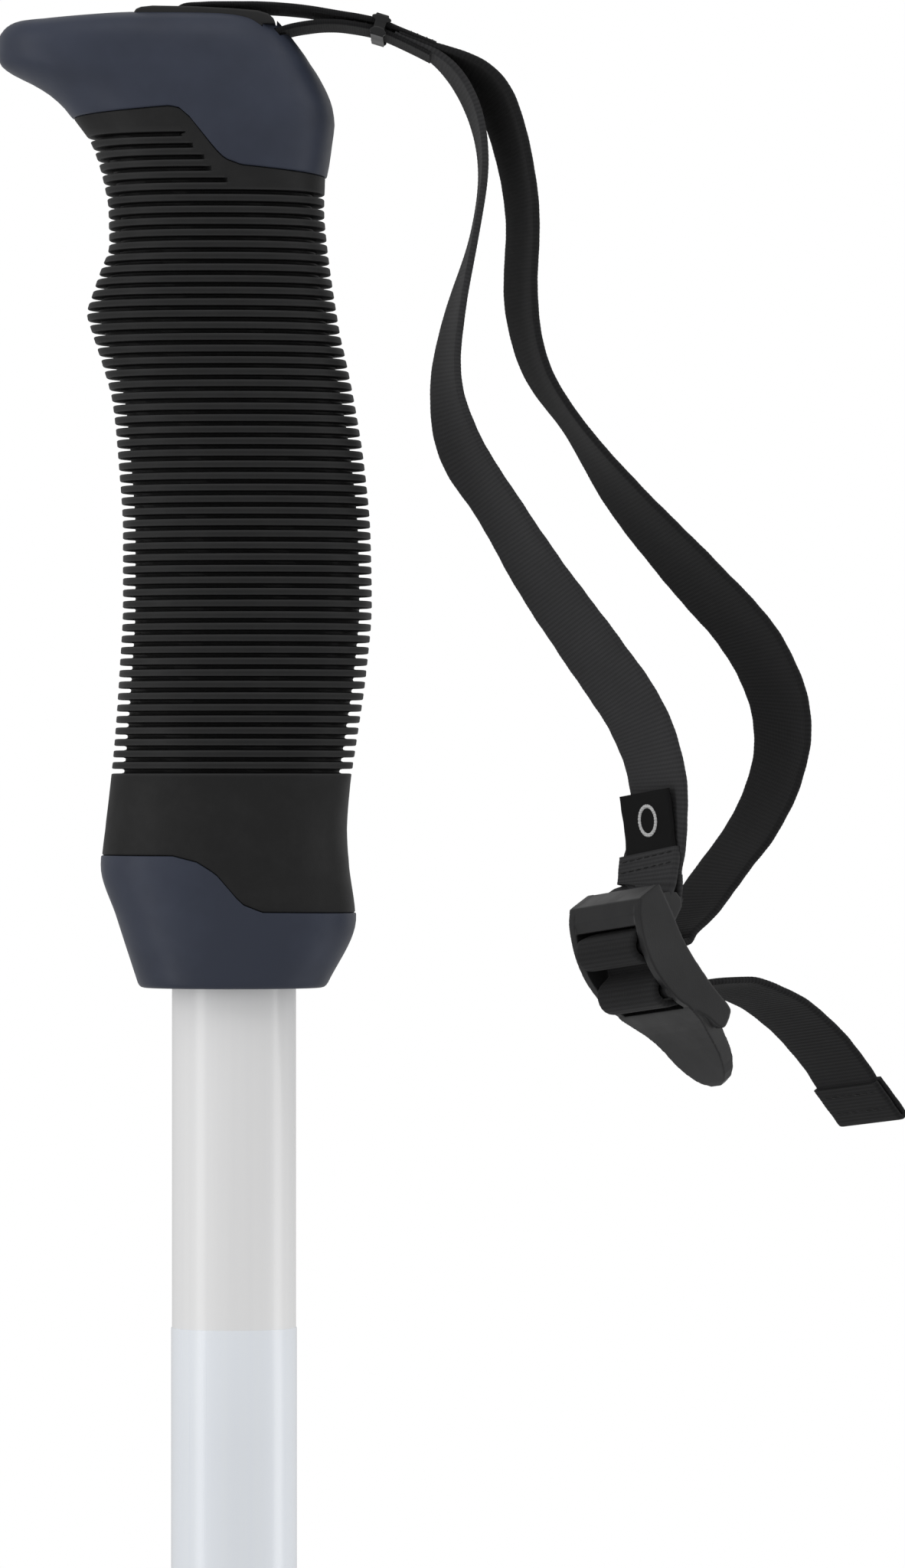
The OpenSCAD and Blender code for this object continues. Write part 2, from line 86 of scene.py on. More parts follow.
# Webbing routes: x, y, height, turn of the width about the run in degrees. The tether is up to
# 1.1 mm lower than the CAD's, and the back strand's last points lie up to 7.6 mm further back.
TETHER = [(29.3, 0, -5.3, 0), (26.6, 0, -4.25, 0), (23.8, 0, -3.15, 0), (21.2, 0, -2.1, 0),
          (18.2, 0, -1.42, 0), (15.5, 0, -0.98, 0), (10, 0, -0.1, 0), (4.6, 0, 0.33, 0),
          (0, 0, 0.38, 0), (-4.5, 0, 0.3, 0), (-7.4, 0, -0.1, 0), (-8.6, 0, -2, 0),
          (-7.6, 0, -4.8, 0), (-5, 0, -6.9, 0), (-1.4, 0, -7, 0), (3, 0, -5.1, 0),
          (7.2, 0, -3.2, 0), (11, 0, -2.4, 0), (14.5, 0, -2.2, 0), (18, 0, -2.6, 0),
          (21.2, 0, -3.35, 0), (24.4, 0, -4.75, 0), (28.5, 0, -6.85, 0)]
LOOP_BACK = [(24.0, 0, -3.75, 0), (26, 0, -4.6, 0), (28.4, 0, -5.5, 1), (32, 0, -7.1, 5),
             (35.4, 0, -9.5, 14), (38, 0, -13.0, 18), (40.4, 0, -20.3, 17), (41.9, 0, -30, 16),
             (41.6, 0, -42, 16), (43.8, 0, -52, 12), (49.4, 0, -60.5, 8), (57, 0.8, -71, 19),
             (67, 2.2, -82.2, 27), (75.1, 4.6, -91.3, 30), (79.5, 7, -101, 31),
             (79.2, 8.6, -110.2, 27), (75.7, 8.8, -118.4, 24), (72.3, 8.2, -123, 22),
             (69.2, 7.0, -127.2, 22), (66.3, 5.2, -131, 22)]
LOOP_FRONT = [(23.4, 0, -3.8, 0), (26, 0, -5.0, 0), (28.6, 0, -6.15, 1), (31.6, 0, -8.8, 4),
              (33.7, 0, -12, 5), (35.5, 0, -16.8, 4), (36.2, 0, -23.7, 2), (34.8, 0, -33, 2),
              (32, 0, -44, 9), (30.7, 0, -54, 15), (32.8, 0, -63.5, 24), (38.2, 0, -72, 23),
              (44.6, 0, -82.4, 28), (52.2, 0, -93.2, 32), (58.4, 0, -102.4, 33),
              (61.4, 0.3, -111, 31), (61.7, 0.8, -119, 29)]

WEB_W = 15.0
WEB_T = 1.0
TETHER_T = 0.78
TAB_W = 15.8
LABEL_W = 13.0

# The buckle's own frame: x along its bars, y to its back, z up
BUCKLE_W = 18.5
RAIL_T = 1.5
BUCKLE_POS = np.array((53.6, -2.7, -129.4 + GRIP_TOP))
BUCKLE_TURN = (31, -6, -57)
SEWN_BAR = (5.4, -3.8)
UPPER_BAR = (-1.8, -6.9)
LOWER_BAR = (-2.2, -14.1)
THREAD_R = 2.1
WRAP_R = 1.65


def buckle_axes():
    """The buckle's three axes as rows, from its turns about X, then Y, then Z."""
    a, b, c = (math.radians(v) for v in BUCKLE_TURN)
    turn = Matrix.Rotation(c, 3, "Z") @ Matrix.Rotation(b, 3, "Y") @ Matrix.Rotation(a, 3, "X")
    return np.array(turn.transposed())


AXES = buckle_axes()


def from_buckle(points):
    return BUCKLE_POS + np.asarray(points, float) @ AXES


# ---- Mesh helpers ----

def smooth_shade(mesh, sharp):
    """Smooth shading, with edges sharper than the given angle in degrees left crisp."""
    mesh.shade_smooth()
    mesh.set_sharp_from_angle(angle=math.radians(sharp))


def finish_mesh(name, mesh, mat, sharp=40):
    smooth_shade(mesh, sharp)
    obj = bpy.data.objects.new(name, mesh)
    scene.collection.objects.link(obj)
    mesh.materials.clear()
    mesh.materials.append(mat)
    return obj


def raw_mesh(name, verts, faces, scale=MM):
    mesh = bpy.data.meshes.new(name)
    mesh.from_pydata((np.asarray(verts, float) * scale).tolist(), [], faces)
    mesh.update()
    return mesh


def set_attribute(mesh, name, values):
    attribute = mesh.attributes.new(name, "FLOAT", "POINT")
    attribute.data.foreach_set("value", np.asarray(values, np.float32).ravel())


def grid_faces(rows, cols, close_rows=False):
    faces = []
    for r in range(rows if close_rows else rows - 1):
        a, b = r * cols, (r + 1) % rows * cols
        faces += [(a + c, a + (c + 1) % cols, b + (c + 1) % cols, b + c) for c in range(cols)]
    return faces


def end_faces(rows, cols):
    """One face on the first ring of a tube and one on the last."""
    return [tuple(range(cols))[::-1], tuple(range((rows - 1) * cols, rows * cols))]


def evaluated(obj):
    """A new mesh with the piece's modifiers applied."""
    depsgraph = bpy.context.evaluated_depsgraph_get()
    return bpy.data.meshes.new_from_object(obj.evaluated_get(depsgraph))


def circle(at, radius, count=24, high=None):
    """Points round a centre, on an ellipse where its half height is given."""
    high = radius if high is None else high
    a = np.arange(count) * 2 * math.pi / count
    return [(at[0] + radius * math.cos(t), at[1] + high * math.sin(t)) for t in a]


def clean(mesh, merge=0.0015):
    """Merges points closer than merge, if it isn't 0, and turns all faces outward."""
    bm = bmesh.new()
    bm.from_mesh(mesh)
    if merge:
        bmesh.ops.remove_doubles(bm, verts=bm.verts, dist=merge * MM)
        bmesh.ops.dissolve_degenerate(bm, edges=bm.edges, dist=merge * MM)
    bmesh.ops.recalc_face_normals(bm, faces=bm.faces)
    bm.to_mesh(mesh)
    bm.free()


def catmull(points, per_span):
    """Catmull-Rom curve through rows of points, with the given number of steps in each span."""
    p = np.asarray(points, float)
    p = np.vstack([p[0], p, p[-1]])
    out = []
    for i in range(1, len(p) - 2):
        t = (np.arange(per_span[i - 1]) / per_span[i - 1])[:, None]
        a, b, c, d = p[i - 1], p[i], p[i + 1], p[i + 2]
        out.append(0.5 * (2 * b + (c - a) * t + (2 * a - 5 * b + 4 * c - d) * t ** 2
                          + (3 * b - a - 3 * c + d) * t ** 3))
    out.append(p[-2:-1])
    return np.vstack(out)


def pchip(xs, ys, x):
    """Smooth interpolation that never overshoots its points."""
    h = np.diff(xs)
    slope = np.diff(ys) / h
    m = np.zeros_like(ys)
    w1, w2 = 2 * h[1:] + h[:-1], h[1:] + 2 * h[:-1]
    same = slope[:-1] * slope[1:] > 0
    safe = np.where(same, slope[:-1], 1), np.where(same, slope[1:], 1)
    m[1:-1] = np.where(same, (w1 + w2) / (w1 / safe[0] + w2 / safe[1]), 0)
    m[0], m[-1] = slope[0], slope[-1]
    i = np.clip(np.searchsorted(xs, x) - 1, 0, len(h) - 1)
    t = (x - xs[i]) / h[i]
    return ((1 + 2 * t) * (1 - t) ** 2 * ys[i] + t * (1 - t) ** 2 * h[i] * m[i]
            + t * t * (3 - 2 * t) * ys[i + 1] + t * t * (t - 1) * h[i] * m[i + 1])


def normalised(v):
    return v / np.linalg.norm(v, axis=-1, keepdims=True)


# ---- Materials ----

class Look:
    """A Principled material with helpers for its colour, roughness and bump nodes."""

    def __init__(self, name, colour, rough, specular, **inputs):
        self.mat = bpy.data.materials.new(name)
        self.mat.use_nodes = True
        self.tree = self.mat.node_tree
        self.shader = self.tree.nodes["Principled BSDF"]
        self.shader.inputs["Base Color"].default_value = (*colour, 1)
        self.shader.inputs["Roughness"].default_value = rough
        self.shader.inputs["Specular IOR Level"].default_value = specular
        for key, value in inputs.items():
            self.shader.inputs[key.replace("_", " ")].default_value = value
        self.place = self.node("ShaderNodeTexCoord").outputs["Object"]
        self.height = None

    def node(self, kind, **settings):
        made = self.tree.nodes.new(kind)
        for key, value in settings.items():
            setattr(made, key, value)
        return made

    def feed(self, socket, value):
        if isinstance(value, bpy.types.NodeSocket):
            self.tree.links.new(value, socket)
        else:
            socket.default_value = value

    def maths(self, how, a, b=0.0, clamp=False):
        made = self.node("ShaderNodeMath", operation=how, use_clamp=clamp)
        self.feed(made.inputs[0], a)
        self.feed(made.inputs[1], b)
        return made.outputs[0]

    def attribute(self, name):
        return self.node("ShaderNodeAttribute", attribute_name=name).outputs["Fac"]

    def noise(self, scale, detail=3.0, rough=0.55, stretch=(1, 1, 1)):
        place = self.node("ShaderNodeMapping")
        self.feed(place.inputs["Vector"], self.place)
        place.inputs["Scale"].default_value = stretch
        made = self.node("ShaderNodeTexNoise")
        self.feed(made.inputs["Vector"], place.outputs[0])
        made.inputs["Scale"].default_value = scale
        made.inputs["Detail"].default_value = detail
        made.inputs["Roughness"].default_value = rough
        return made.outputs["Fac"]

    def spread(self, value, low, high, to_low=0.0, to_high=1.0):
        made = self.node("ShaderNodeMapRange")
        for socket, v in zip(made.inputs, (value, low, high, to_low, to_high)):
            self.feed(socket, v)
        return made.outputs[0]

    def colours(self, amount, low, high):
        made = self.node("ShaderNodeMix", data_type="RGBA")
        self.feed(made.inputs["Factor"], amount)
        self.feed(made.inputs[6], (*low, 1) if isinstance(low, tuple) else low)
        self.feed(made.inputs[7], (*high, 1) if isinstance(high, tuple) else high)
        return made.outputs[2]

    def colour(self, socket):
        self.feed(self.shader.inputs["Base Color"], socket)
        return self

    def roughness(self, socket):
        self.feed(self.shader.inputs["Roughness"], socket)
        return self

    def bump(self, socket, depth_mm, strength=1.0):
        made = self.node("ShaderNodeBump")
        made.inputs["Strength"].default_value = strength
        made.inputs["Distance"].default_value = depth_mm * MM
        self.feed(made.inputs["Height"], socket)
        if self.height is not None:
            self.feed(made.inputs["Normal"], self.height)
        self.height = made.outputs[0]
        self.feed(self.shader.inputs["Normal"], self.height)
        return self


def moulded(name, colour, rough, specular, grain_mm=0.012, rubbing_and_highlight=1.35):
    """Injection-moulded plastic: fine spark-eroded grain, faint flow marks, rubbed patches."""
    look = Look(name, colour, rough, specular)
    patches = look.spread(look.noise(55, 4), 0.42, 0.68)
    light = tuple(min(1, c * rubbing_and_highlight) for c in colour)
    look.colour(look.colours(patches, colour, light))
    look.roughness(look.spread(look.noise(140, 5), 0.3, 0.7, rough - 0.06, rough + 0.08))
    look.bump(look.noise(5200, 2, 0.6), grain_mm)
    look.bump(look.noise(260, 3), grain_mm * 2.5)
    return look.mat


def woven(name, dark, light, pitch, rough=0.85, sheen=0.05):
    """Ribbed webbing: weft ribs across the strap, warp yarns along it, a little lint. The colour
    is painted lighter on the rib and yarn crests and darker between them, as painted light and
    shade; the lint and the random patches are the webbing's own tone.
    """
    look = Look(name, dark, rough, 0.16, Sheen_Weight=sheen, Sheen_Roughness=0.5)
    along, across = look.attribute("along"), look.attribute("across")
    rib = look.maths("SINE", look.maths("MULTIPLY", along, 2 * math.pi / pitch))
    yarn = look.maths("SINE", look.maths("MULTIPLY", across, 2 * math.pi / 0.42))
    # Painted light on the rib crests and painted shade in the troughs between them.
    rib_crest_light = look.spread(rib, -1.0, 1.0)
    fibre = look.noise(9000, 3, 0.7)
    shade = look.maths("ADD", look.maths("MULTIPLY", rib_crest_light, 0.55),
                       look.maths("MULTIPLY", look.spread(yarn, -1.0, 1.0), 0.2))
    shade = look.maths("ADD", shade, look.maths("MULTIPLY", fibre, 0.35))
    patches = look.spread(look.noise(160, 4), 0.35, 0.7, 0.75, 1.1)
    # Rib and yarn waves give painted light and shade; lint and random patches are the webbing's
    # own tone.
    look.colour(look.colours(look.maths("MULTIPLY", shade, patches, clamp=True), dark, light))
    look.bump(fibre, 0.02)
    look.bump(look.maths("ADD", rib, look.maths("MULTIPLY", yarn, 0.5)), 0.016)
    return look.mat


def make_rubber():
    look = Look("grip_rubber", (0.011, 0.011, 0.0112), 0.6, 0.26)
    dust = look.spread(look.noise(210, 5, 0.65), 0.45, 0.75)
    base = look.colours(dust, (0.010, 0.010, 0.0102), (0.0145, 0.0145, 0.0148))
    # The rows on the groove rims are painted lighter: a painted highlight on the rib edges, over
    # the dust's random tone.
    look.colour(look.colours(look.attribute("rim_highlight"), base, (0.032, 0.032, 0.0325)))
    look.roughness(look.spread(look.noise(90, 4), 0.3, 0.7, 0.5, 0.66))
    look.bump(look.noise(4200, 3, 0.6), 0.015)
    look.bump(look.noise(420, 3), 0.02)
    return look.mat


def make_paint(name, low, high, rough, coat):
    """Sprayed coat or film on the tube, with a faint lengthwise drawing grain."""
    look = Look(name, low, rough, 0.45, Coat_Weight=coat, Coat_Roughness=0.18)
    streaks = look.noise(700, 4, 0.6, stretch=(1, 1, 0.012))
    clouds = look.noise(45, 3, 0.5, stretch=(1, 1, 0.3))
    mixed = look.maths("ADD", look.maths("MULTIPLY", streaks, 0.6),
                       look.maths("MULTIPLY", clouds, 0.4))
    look.colour(look.colours(look.spread(mixed, 0.38, 0.62), low, high))
    look.roughness(look.spread(streaks, 0.3, 0.7, rough - 0.05, rough + 0.06))
    look.bump(look.noise(2600, 2), 0.004)
    return look.mat


def make_steel():
    look = Look("steel", (0.55, 0.55, 0.56), 0.3, 0.5, Metallic=1.0)
    lines = look.noise(900, 4, 0.6, stretch=(1, 1, 0.05))
    shine = look.spread(lines, 0.35, 0.65)
    look.colour(look.colours(shine, (0.42, 0.42, 0.43), (0.62, 0.62, 0.62)))
    look.roughness(look.spread(lines, 0.3, 0.7, 0.24, 0.42))
    look.bump(lines, 0.01)
    return look.mat


def make_label():
    look = Look("label_satin", (0.003, 0.003, 0.003), 0.6, 0.1)
    along, across = look.attribute("along"), look.attribute("across")
    weft = look.maths("SINE", look.maths("MULTIPLY", along, 2 * math.pi / 0.25))
    warp = look.maths("SINE", look.maths("MULTIPLY", across, 2 * math.pi / 0.2))
    both = look.maths("MULTIPLY", weft, warp)
    look.colour(look.colours(look.spread(both, -1.0, 1.0), (0.002, 0.002, 0.0021),
                             (0.0055, 0.0055, 0.0058)))
    look.bump(both, 0.006)
    return look.mat


rubber = make_rubber()
navy = moulded("navy_plastic", (0.034, 0.040, 0.060), 0.45, 0.24)
insert_black = moulded("insert_plastic", (0.014, 0.014, 0.0145), 0.5, 0.3)
buckle_black = moulded("buckle_plastic", (0.0125, 0.0125, 0.013), 0.42, 0.3, rubbing_and_highlight=1.5)
tip_black = moulded("tip_plastic", (0.018, 0.018, 0.02), 0.48, 0.35)
core_grey = moulded("core_plastic", (0.06, 0.06, 0.065), 0.55, 0.35)
web_dark = woven("webbing", (0.0098, 0.0098, 0.0102), (0.0195, 0.0195, 0.0203), 0.6)
# The same webbing as the rest of the loop, painted lighter: painted light on the front strand,
# which faces the lamps.
web_painted_lit = woven("webbing_light", (0.024, 0.024, 0.025), (0.048, 0.048, 0.05), 0.6)
web_tether = woven("webbing_tether", (0.008, 0.008, 0.0085), (0.018, 0.018, 0.019), 0.35)
thread = woven("sewing_thread", (0.006, 0.006, 0.006), (0.022, 0.022, 0.023), 0.3, rough=0.6)
mark_thread = woven("mark_thread", (0.45, 0.45, 0.45), (0.75, 0.75, 0.75), 0.3, rough=0.6)
label_satin = make_label()
paint = make_paint("shaft_paint", (0.905, 0.905, 0.91), (0.935, 0.935, 0.935), 0.38, 0.6)
film = make_paint("film_lavender", (0.90, 0.94, 1.0), (0.915, 0.955, 1.0), 0.3, 0.6)
steel = make_steel()

# ---- Grip ----

COLUMNS = 200
ANGLES = np.arange(COLUMNS) * 2 * math.pi / COLUMNS
# The nose narrows where the grip's half length is over NOSE_FROM, by NOSE_PINCH at NOSE_REACH more
NOSE_PINCH, NOSE_FROM, NOSE_REACH = 0.16, 16, 6
LINE_STEPS = 60


def outline(depth, angle):
    """x and y of the grip's outline at each depth and angle."""
    lo, hi, wide, square = (pchip(STATIONS[:, 0], STATIONS[:, k], depth) for k in range(1, 5))
    mid, half = (lo + hi) / 2, (hi - lo) / 2
    c, s = np.cos(angle), np.sin(angle)
    x = np.sign(c) * np.abs(c) ** (2 / square)
    y = np.sign(s) * np.abs(s) ** (2 / square)
    pinch = 1 - NOSE_PINCH * np.maximum(0, -x) * np.maximum(0, half - NOSE_FROM) / NOSE_REACH
    return mid + half * x, wide * y * pinch


def line_depth(line):
    """Depth of a parting line at each column of the outline."""
    depth = np.full(COLUMNS, -line[:, 1].mean())
    for _ in range(LINE_STEPS):
        x, _y = outline(depth, ANGLES)
        depth = 0.5 * depth - 0.5 * np.interp(x, line[:, 0], line[:, 1])
    return depth


def skin(depth, proud):
    """Points of the outline at a grid of depths, moved outward by proud."""
    angle = np.broadcast_to(ANGLES, depth.shape)
    x, y = outline(depth, angle)
    small = 0.004
    x1, y1 = outline(depth, angle + small)
    x0, y0 = outline(depth, angle - small)
    nx, ny = y1 - y0, x0 - x1
    size = np.hypot(nx, ny)
    return np.stack([x + proud * nx / size, y + proud * ny / size, GRIP_TOP - depth], -1)


def bore(depth, radius):
    """A round ring inside the grip, with its points opposite the outline's columns."""
    x, y = outline(np.broadcast_to(depth, COLUMNS), ANGLES)
    a = np.arctan2(y, x)
    z = np.broadcast_to(GRIP_TOP - depth, COLUMNS)
    return np.stack([radius * np.cos(a), radius * np.sin(a), z], -1)


cap_edge = line_depth(CAP_LINE)
collar_edge = line_depth(COLLAR_LINE)

RIB_PITCH = 1.664
FIRST_GROOVE = 27.14
GROOVES = 51
GROOVE_DEPTH = 1.85
# Profile of a groove: distance from its middle, share of its depth, painted highlight on the edge
GROOVE = [(-0.52, 0, 0.3), (-0.42, 0.02, 0.9), (-0.36, 0.07, 0.8), (-0.33, 0.2, 0.1),
          (-0.31, 0.8, 0), (-0.21, 0.96, 0), (0, 1, 0), (0.21, 0.96, 0), (0.31, 0.8, 0),
          (0.33, 0.2, 0.1), (0.36, 0.07, 0.8), (0.42, 0.02, 0.9), (0.52, 0, 0.3)]
# How far back each short groove under the cap reaches, from the lowest one up
SHORT_ENDS = [-1.1, -3.1, -4.4, -5.8, -7.2]
# The sleeve's rolled rims: distance from the parting line, and how far the last row sinks in
RIM = np.array([0.25, 0.14, 0.06, 0.0])
RIM_ROWS = len(RIM) - 1
RIM_INSET = 0.3
LINE_MARGIN = 0.6


def make_sleeve():
    rows = [(d, 0.0, 0.0, None) for d in np.arange(14.0, FIRST_GROOVE - 5.5 * RIB_PITCH, 0.7)]
    for k in range(-len(SHORT_ENDS), GROOVES):
        middle = FIRST_GROOVE + k * RIB_PITCH
        reach = SHORT_ENDS[-k - 1] if k < 0 else None
        rows += [(middle + u, share, rubbing_and_highlight, reach) for u, share, rubbing_and_highlight in GROOVE]
        rows.append((middle + RIB_PITCH / 2, 0.0, 0.0, None))
    last = rows[-1][0]
    rows += [(d, 0.0, 0.0, None) for d in np.arange(last + 1, 131.5, 1.1)]

    depth = np.array([r[0] for r in rows])[:, None]
    depth = np.clip(depth + 0 * cap_edge, cap_edge + RIM[0], collar_edge - RIM[0])
    top = cap_edge + RIM[::-1][:-1, None]
    foot = collar_edge - RIM[1:, None]
    depth = np.vstack([top, depth, foot])
    x, _y = outline(depth, np.broadcast_to(ANGLES, depth.shape))

    inset, rim_highlight = np.zeros_like(depth), np.zeros_like(depth)
    for i, (_d, share, rubbing_and_highlight, reach) in enumerate(rows):
        row = i + RIM_ROWS
        here = np.ones(COLUMNS) if reach is None else (x[row] < reach).astype(float)
        clear = (depth[row] > cap_edge + LINE_MARGIN) & (depth[row] < collar_edge - LINE_MARGIN)
        inset[row] = share * GROOVE_DEPTH * here * clear
        # Rows at the groove rims carry a painted highlight for the rib edges.
        rim_highlight[row] = rubbing_and_highlight * here * clear
    for row, gap in enumerate(RIM[:0:-1]):
        for end in (row, -1 - row):
            inset[end] += RIM_INSET * (1 - gap / RIM[0]) ** 2
    grain = 0.012 * np.sin(depth * 3.1 + ANGLES * 7) * np.sin(depth * 0.7 + ANGLES * 3)
    outer = skin(depth, grain - inset)
    rings = np.concatenate([bore(cap_edge, CORE_R)[None], outer, bore(collar_edge, CORE_R)[None]])
    mesh = raw_mesh("ribbed_sleeve", rings.reshape(-1, 3), grid_faces(len(rings), COLUMNS, True))
    edge = np.zeros((len(rings), COLUMNS))
    edge[1:-1] = rim_highlight
    set_attribute(mesh, "rim_highlight", edge)
    clean(mesh)
    return finish_mesh("ribbed_sleeve", mesh, rubber, 38)


def fan(mesh_rows, cols, top_centre, foot_centre):
    """Triangles that close the first and last ring on one point each."""
    last = (mesh_rows - 1) * cols
    top = [(top_centre, (c + 1) % cols, c) for c in range(cols)]
    foot = [(foot_centre, last + c, last + (c + 1) % cols) for c in range(cols)]
    return top + foot


def prism(shape, low, high, frame_of):
    """Closed prism: a 2D outline, pushed from low to high along the third direction."""
    n = len(shape)
    verts = [frame_of(u, v, low) for u, v in shape] + [frame_of(u, v, high) for u, v in shape]
    faces = end_faces(2, n) + [(i, (i + 1) % n, n + (i + 1) % n, n + i) for i in range(n)]
    return np.array(verts, float), faces


def across_grip(shape, half):
    """A side view's outline in x and height, pushed half to each side of the grip's middle."""
    return prism(shape, -half, half, lambda x, h, y: (x, y, GRIP_TOP + h))


def carve(obj, parts):
    """Cuts closed shapes out of a piece."""
    for verts, faces in parts:
        mesh = raw_mesh("cutter", verts, faces)
        clean(mesh)
        tool = bpy.data.objects.new("cutter", mesh)
        scene.collection.objects.link(tool)
        cut = obj.modifiers.new("cut", "BOOLEAN")
        cut.operation, cut.solver, cut.object = "DIFFERENCE", "EXACT", tool
        made = evaluated(obj)
        obj.modifiers.remove(cut)
        old, obj.data = obj.data, made
        bpy.data.meshes.remove(old)
        bpy.data.objects.remove(tool)


# How far the cap's top lies below the grip's top, from the nose to the back: x and fall
TOP_FALL = np.array([(-34, 1.8), (-31, 1.7), (-27.3, 1.62), (-24, 1.38), (-20.7, 1.15),
                     (-17.3, 0.93), (-15, 0.84), (5, 0.82)]).T
FALL_FROM, FALL_FADE = 1.5, 7.5
CAP_PROUD = 0.2
CAP_FLOOR = 13.95
CAP_SHARP = 35
# Side views of the seat for the insert and of the tether's slot, and their half widths
SEAT_SIDE = [(-14.28, -9.35), (4.36, -9.35), (4.36, -2.7), (6.32, -2.7), (6.32, 3), (-14.28, 3)]
SEAT_HALF = 9.08
SLOT_SIDE = [(3.4, -5.6), (8, -3.8), (16, -3.1), (16, -1.8), (8, -2.4), (3.4, -4.2)]
SLOT_HALF = 7.7


def make_cap():
    base = np.array([0, 0.05, 0.15, 0.35, 0.6, 0.95, 1.3, 1.9, 2.5, 3.2, 4, 5, 6.4, 7.2, 8, 8.6,
                     9.2, 9.9, 10.6, 11.4, 12.2, 13.2, 14.2, 15.5, 16.6, 18, 19.5, 21, 22.5,
                     24])[:, None]
    depth = np.minimum(base + 0 * cap_edge, cap_edge - 0.3)
    depth = np.vstack([depth, cap_edge - np.array([0.18, 0.08, 0.02, 0.0])[:, None]])
    ramp = np.clip(depth / 3, 0, 1)
    proud = CAP_PROUD * ramp * ramp * (3 - 2 * ramp)
    proud[-4:] = np.array([0.18, 0.12, 0.02, -0.12])[:, None]
    outer = skin(depth, proud)
    fade = np.clip((depth - FALL_FROM) / FALL_FADE, 0, 1)
    outer[..., 2] -= np.interp(outer[..., 0], *TOP_FALL) * (1 - fade * fade * (3 - 2 * fade))
    inner = np.stack([bore(cap_edge, CORE_R), bore(np.full(COLUMNS, CAP_FLOOR), CORE_R)])
    rings = np.concatenate([outer, inner])
    centres = [(-13, 0, GRIP_TOP - 0.84), (0, 0, GRIP_TOP - CAP_FLOOR)]
    verts = np.vstack([rings.reshape(-1, 3), centres])
    count = len(rings) * COLUMNS
    faces = grid_faces(len(rings), COLUMNS) + fan(len(rings), COLUMNS, count, count + 1)
    mesh = raw_mesh("cap_shell", verts, faces)
    clean(mesh)
    obj = finish_mesh("cap_shell", mesh, navy, CAP_SHARP)
    carve(obj, [across_grip(SEAT_SIDE, SEAT_HALF), across_grip(SLOT_SIDE, SLOT_HALF)])
    smooth_shade(obj.data, CAP_SHARP)
    return obj


# Side views of the insert and of the tether's way through it, and their half widths
BLOCK_SIDE = [(-14.2, -9.3), (4.3, -9.3), (4.3, -2.65), (6.25, -2.65), (5.9, -1.85),
              (5.1, -1.15), (3.6, -0.72), (0, -0.42), (-6, -0.12), (-11.5, -0.02),
              (-13.2, -0.2), (-13.9, -0.5), (-14.2, -0.95)]
BLOCK_HALF = 8.95
WAY_SIDE = [(-9.3, 3), (-9.4, -2.6), (-8.4, -5.5), (-5.4, -8), (-1, -8), (3.6, -6), (8, -4),
            (8, -2.3), (2.4, -4.4), (-1.4, -6.1), (-4.6, -5.9), (-6.6, -4.4), (-7.7, -2),
            (-7.4, -0.9), (-6.6, -0.45), (-6.6, 3)]
WAY_HALF = 7.65
PIN_AT, PIN_R, PIN_HALF = (-3.6, -4.9), 1.55, 12
# Screw's hole and countersink: radius, lowest and highest height
SCREW_X = -11.6
SCREW_HOLES = [(1.2, -10, 3), (2.0, -1.1, 3)]
INSERT_SHARP = 30


def make_insert():
    """Block that fills the cap's seat, with room for the tether, the pin and the screw."""
    mesh = raw_mesh("insert_block", *across_grip(BLOCK_SIDE, BLOCK_HALF))
    clean(mesh)
    obj = finish_mesh("insert_block", mesh, insert_black, INSERT_SHARP)
    edge = obj.modifiers.new("edge", "BEVEL")
    edge.width, edge.segments, edge.limit_method = 0.3 * MM, 3, "ANGLE"
    edge.angle_limit = math.radians(40)
    made = evaluated(obj)
    obj.modifiers.remove(edge)
    obj.data = made
    holes = [prism(circle((SCREW_X, 0), r), low, high, lambda u, v, h: (u, v, GRIP_TOP + h))
             for r, low, high in SCREW_HOLES]
    way, pin = across_grip(WAY_SIDE, WAY_HALF), across_grip(circle(PIN_AT, PIN_R), PIN_HALF)
    carve(obj, [way, pin] + holes)
    smooth_shade(obj.data, INSERT_SHARP)
    return obj


# The collar's lower mouth: radius at its end, radius inside, height of the lip
MOUTH_R, SHAFT_HOLE_R, LIP = 9.6, 9.3, 0.85


def make_collar():
    edge = collar_edge
    first = edge + np.array([0.0, 0.03, 0.1, 0.25])[:, None]
    base = np.concatenate([np.arange(123, 140.5, 0.9), [141.0, 141.35, 141.6, 141.7]])[:, None]
    depth = np.vstack([first, np.maximum(base + 0 * edge, edge + 0.3)])
    proud = np.full_like(depth, 0.13)
    proud[:4] = np.array([-0.1, 0.02, 0.1, 0.13])[:, None]
    proud[-3:] = np.array([0.05, -0.15, -0.5])[:, None]
    outer = skin(depth, proud)
    low = np.full(COLUMNS, GRIP_LENGTH)
    inner = np.stack([bore(low, MOUTH_R), bore(low - 0.3, SHAFT_HOLE_R),
                      bore(low - LIP, SHAFT_HOLE_R), bore(low - LIP, CORE_R), bore(edge, CORE_R)])
    rings = np.concatenate([outer, inner])
    mesh = raw_mesh("collar_shell", rings.reshape(-1, 3), grid_faces(len(rings), COLUMNS, True))
    clean(mesh)
    return finish_mesh("collar_shell", mesh, navy, 35)


for piece, node, slot in ((make_sleeve(), "grip_sleeve", "grip_rubber"),
                          (make_cap(), "grip_cap", "navy_plastic"),
                          (make_collar(), "grip_collar", "navy_plastic"),
                          (make_insert(), "strap_insert", "insert_plastic")):
    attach(piece, "pole")
    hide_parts(node)

# ---- Shaft ----

SHAFT_R = 9.0
FOOT_R = 5.5
FOOT_LENGTH = 40
TUBE_WALL = 1.1
SHAFT_TURNS = 144


